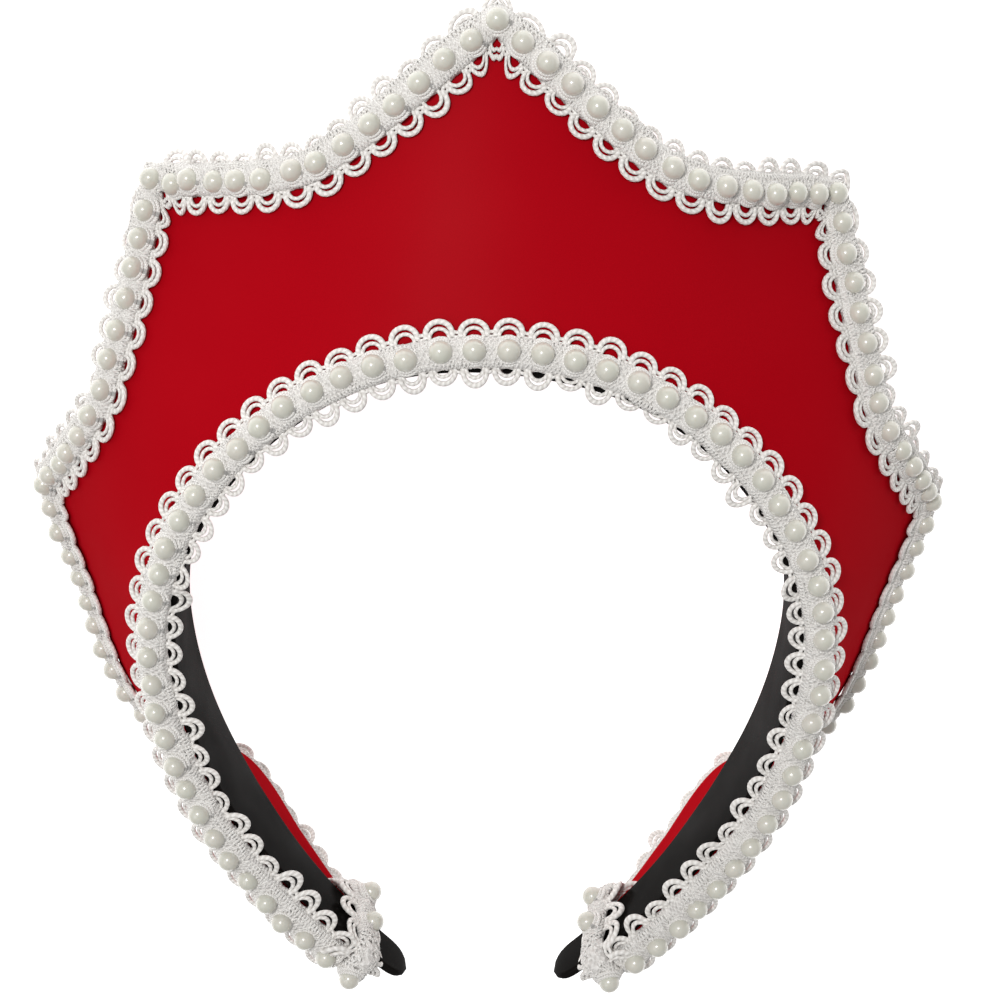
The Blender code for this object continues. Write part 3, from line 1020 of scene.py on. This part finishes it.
def seated(name, shape, seats, material):
    """Copies of a shape on the given seats, each turned so that its Z points along the seat's up."""
    grow = Growth(name)
    made = shape(grow)
    points = Sock(grow.tree, grow.inputs.outputs["Geometry"])
    settings = {"data_type": "FLOAT_VECTOR"}
    up = grow.node("GeometryNodeInputNamedAttribute", settings, {"Name": "up"})
    turned = grow.node("FunctionNodeAlignEulerToVector", {"axis": "Z"}, {"Vector": up})
    sockets = {"Points": points, "Instance": made, "Rotation": turned}
    grow.end(grow.node("GeometryNodeInstanceOnPoints", None, sockets), material)
    spots, ups = seats
    cloud = bpy.data.meshes.new(name + "_seats")
    cloud.from_pydata(spots.tolist(), [], [])
    layer = cloud.attributes.new("up", "FLOAT_VECTOR", "POINT")
    layer.data.foreach_set("vector", np.ascontiguousarray(ups.reshape(-1), dtype=np.float32))
    mesh = grow.grown(name, material, cloud)
    mesh.shade_smooth()
    return mesh


def pearl(grow):
    radius = grow.value("Pearl radius", "Float", PEARL_RADIUS)
    sockets = {"Radius": radius, "Subdivisions": PEARL_DETAIL}
    return grow.node("GeometryNodeMeshIcoSphere", None, sockets)


def pearl_cup(grow):
    """Two rings of thread round a pearl, the wider one lower."""
    rings = []
    for k, cup in enumerate(CUPS):
        reach = grow.value(f"Ring radius {k + 1}", "Float", cup.reach)
        cord = grow.value(f"Ring cord radius {k + 1}", "Float", cup.cord)
        ring = grow.cord(grow.circle(CUP_STEPS, reach), cord, RING_SIDES)
        rings.append(grow.moved(ring, (0.0, 0.0, -cup.sunk)))
    return grow.join(rings)


def lace_trim(prefix, node, run, loops, pearls, finishes, seed):
    """One trim: its braid, its crossing threads, its corded loops and its pearls."""
    count = len(loops)
    ground = braid_ground(prefix + "_braid", run, loops[0], finishes["braid"])
    piece(prefix + "_braid", ground, "ivory_lace", node)

    arches = lace_arches(prefix + "_arches", count, run.pitch, finishes["cord"])
    bend_lace(arches, run, loops[0], lambda turn, across: LOOPS[0].cord + BRAID_FLOOR, seed)
    piece(prefix + "_arches", turned_out(arches), "ivory_lace", node)

    turns = run.turns[-1] - run.turns[0]
    threads = braid_threads(prefix + "_threads", turns, run.pitch, run.lip_half, finishes["thread"])
    top = partial(braid_top, lip_half=run.lip_half)
    bend_lace(threads, run, run.turns[0], top, seed + THREAD_SEED)
    piece(prefix + "_threads", turned_out(threads), "ivory_lace", node)

    rng = np.random.default_rng(seed + DRIFT_SEED)
    drift = rng.normal(0.0, 1.0, (len(pearls), 3)) * PEARL_DRIFT
    seats = (run.at(pearls, "pearl") + drift, unit(run.at(pearls, "pearl_up")))
    cups = seated(prefix + "_cups", pearl_cup, seats, finishes["thread"])
    piece(prefix + "_cups", turned_out(cups), "ivory_lace", node)
    row = seated(prefix + "_pearls", pearl, seats, finishes["pearl"])
    piece(prefix + "_pearls", row, "ivory_lace", node)


# The studio


def studio():
    """A plain white floor, a white surround and two soft boxes."""
    mesh = bpy.data.meshes.new("floor")
    corners = [(x * FLOOR_HALF, y * FLOOR_HALF, 0.0) for x, y in ((-1, -1), (1, -1), (1, 1), (-1, 1))]
    mesh.from_pydata(corners, [], [(0, 1, 2, 3)])
    floor = bpy.data.objects.new("floor", mesh)
    floor.location.z = -FLOOR_DROP
    bpy.context.scene.collection.objects.link(floor)
    paper = bpy.data.materials.new("white_paper")
    paper.use_nodes = True
    shader = paper.node_tree.nodes["Principled BSDF"]
    shader.inputs["Base Color"].default_value = (0.90, 0.90, 0.90, 1.0)
    shader.inputs["Roughness"].default_value = 0.9
    shader.inputs["Emission Color"].default_value = (1.0, 1.0, 1.0, 1.0)
    shader.inputs["Emission Strength"].default_value = FLOOR_GLOW
    mesh.materials.append(paper)
    floor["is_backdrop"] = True

    world = bpy.data.worlds.new("surround")
    world.use_nodes = True
    background = world.node_tree.nodes["Background"]
    background.inputs["Color"].default_value = (1.0, 1.0, 1.0, 1.0)
    background.inputs["Strength"].default_value = SURROUND
    bpy.context.scene.world = world

    for box in SOFT_BOXES:
        light = bpy.data.lights.new(box.name, "AREA")
        light.size = box.size
        light.energy = box.power
        lamp = bpy.data.objects.new(box.name, light)
        lamp.location = box.at
        aim = LIT_POINT - Vector(box.at)
        lamp.rotation_euler = aim.to_track_quat("-Z", "Y").to_euler()
        bpy.context.scene.collection.objects.link(lamp)
    bpy.context.scene.view_settings.view_transform = "Standard"


def camera():
    """The photograph's camera, rolled so that the crown's top is up."""
    data = bpy.data.cameras.new("camera")
    data.sensor_width = SENSOR_MM
    data.lens = SENSOR_MM * FOCAL_PX / PHOTO_PX
    data.clip_start = 0.01
    obj = bpy.data.objects.new("camera", data)
    ahead = CAMERA_AHEAD.normalized()
    right = (CAMERA_RIGHT - ahead * CAMERA_RIGHT.dot(ahead)).normalized()
    up = right.cross(ahead)
    turn = Matrix((right, up, -ahead)).transposed()
    obj.matrix_world = Matrix.Translation(ORIGIN + CAMERA_AT) @ turn.to_4x4()
    bpy.context.scene.collection.objects.link(obj)
    bpy.context.scene.camera = obj


def main():
    # Each thread: its bright colour, the darker colour of the painted shade between plies, and its lay
    # length.
    cord = ((0.90, 0.88, 0.85, 1.0), (0.61, 0.575, 0.54, 1.0), 0.0011)
    thread = ((0.92, 0.91, 0.88, 1.0), (0.64, 0.60, 0.565, 1.0), 0.0006)
    finishes = {
        "satin": satin_finish(),
        "cover": cover_finish(),
        "cord": thread_finish("ivory_cord", *cord),
        "thread": thread_finish("ivory_thread", *thread),
        "braid": braid_finish(),
        "pearl": pearl_finish(),
    }
    camera()
    studio()
    satin_panel(finishes["satin"])
    hairband(finishes["cover"])
    lace_trim("inner", "inner_lace_trim", *inner_run(), finishes, SEEDS["inner"])
    lace_trim("outer", "outer_lace_trim", *outer_run(), finishes, SEEDS["outer"])
    lace_trim("left_end", "inner_lace_trim", *end_run(-1.0), finishes, SEEDS["left_end"])
    lace_trim("right_end", "inner_lace_trim", *end_run(1.0), finishes, SEEDS["right_end"])


main()

for low, high in (FRAME_BOX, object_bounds()):
    json.dumps([[float(v) for v in low], [float(v) for v in high]]) + "\n"
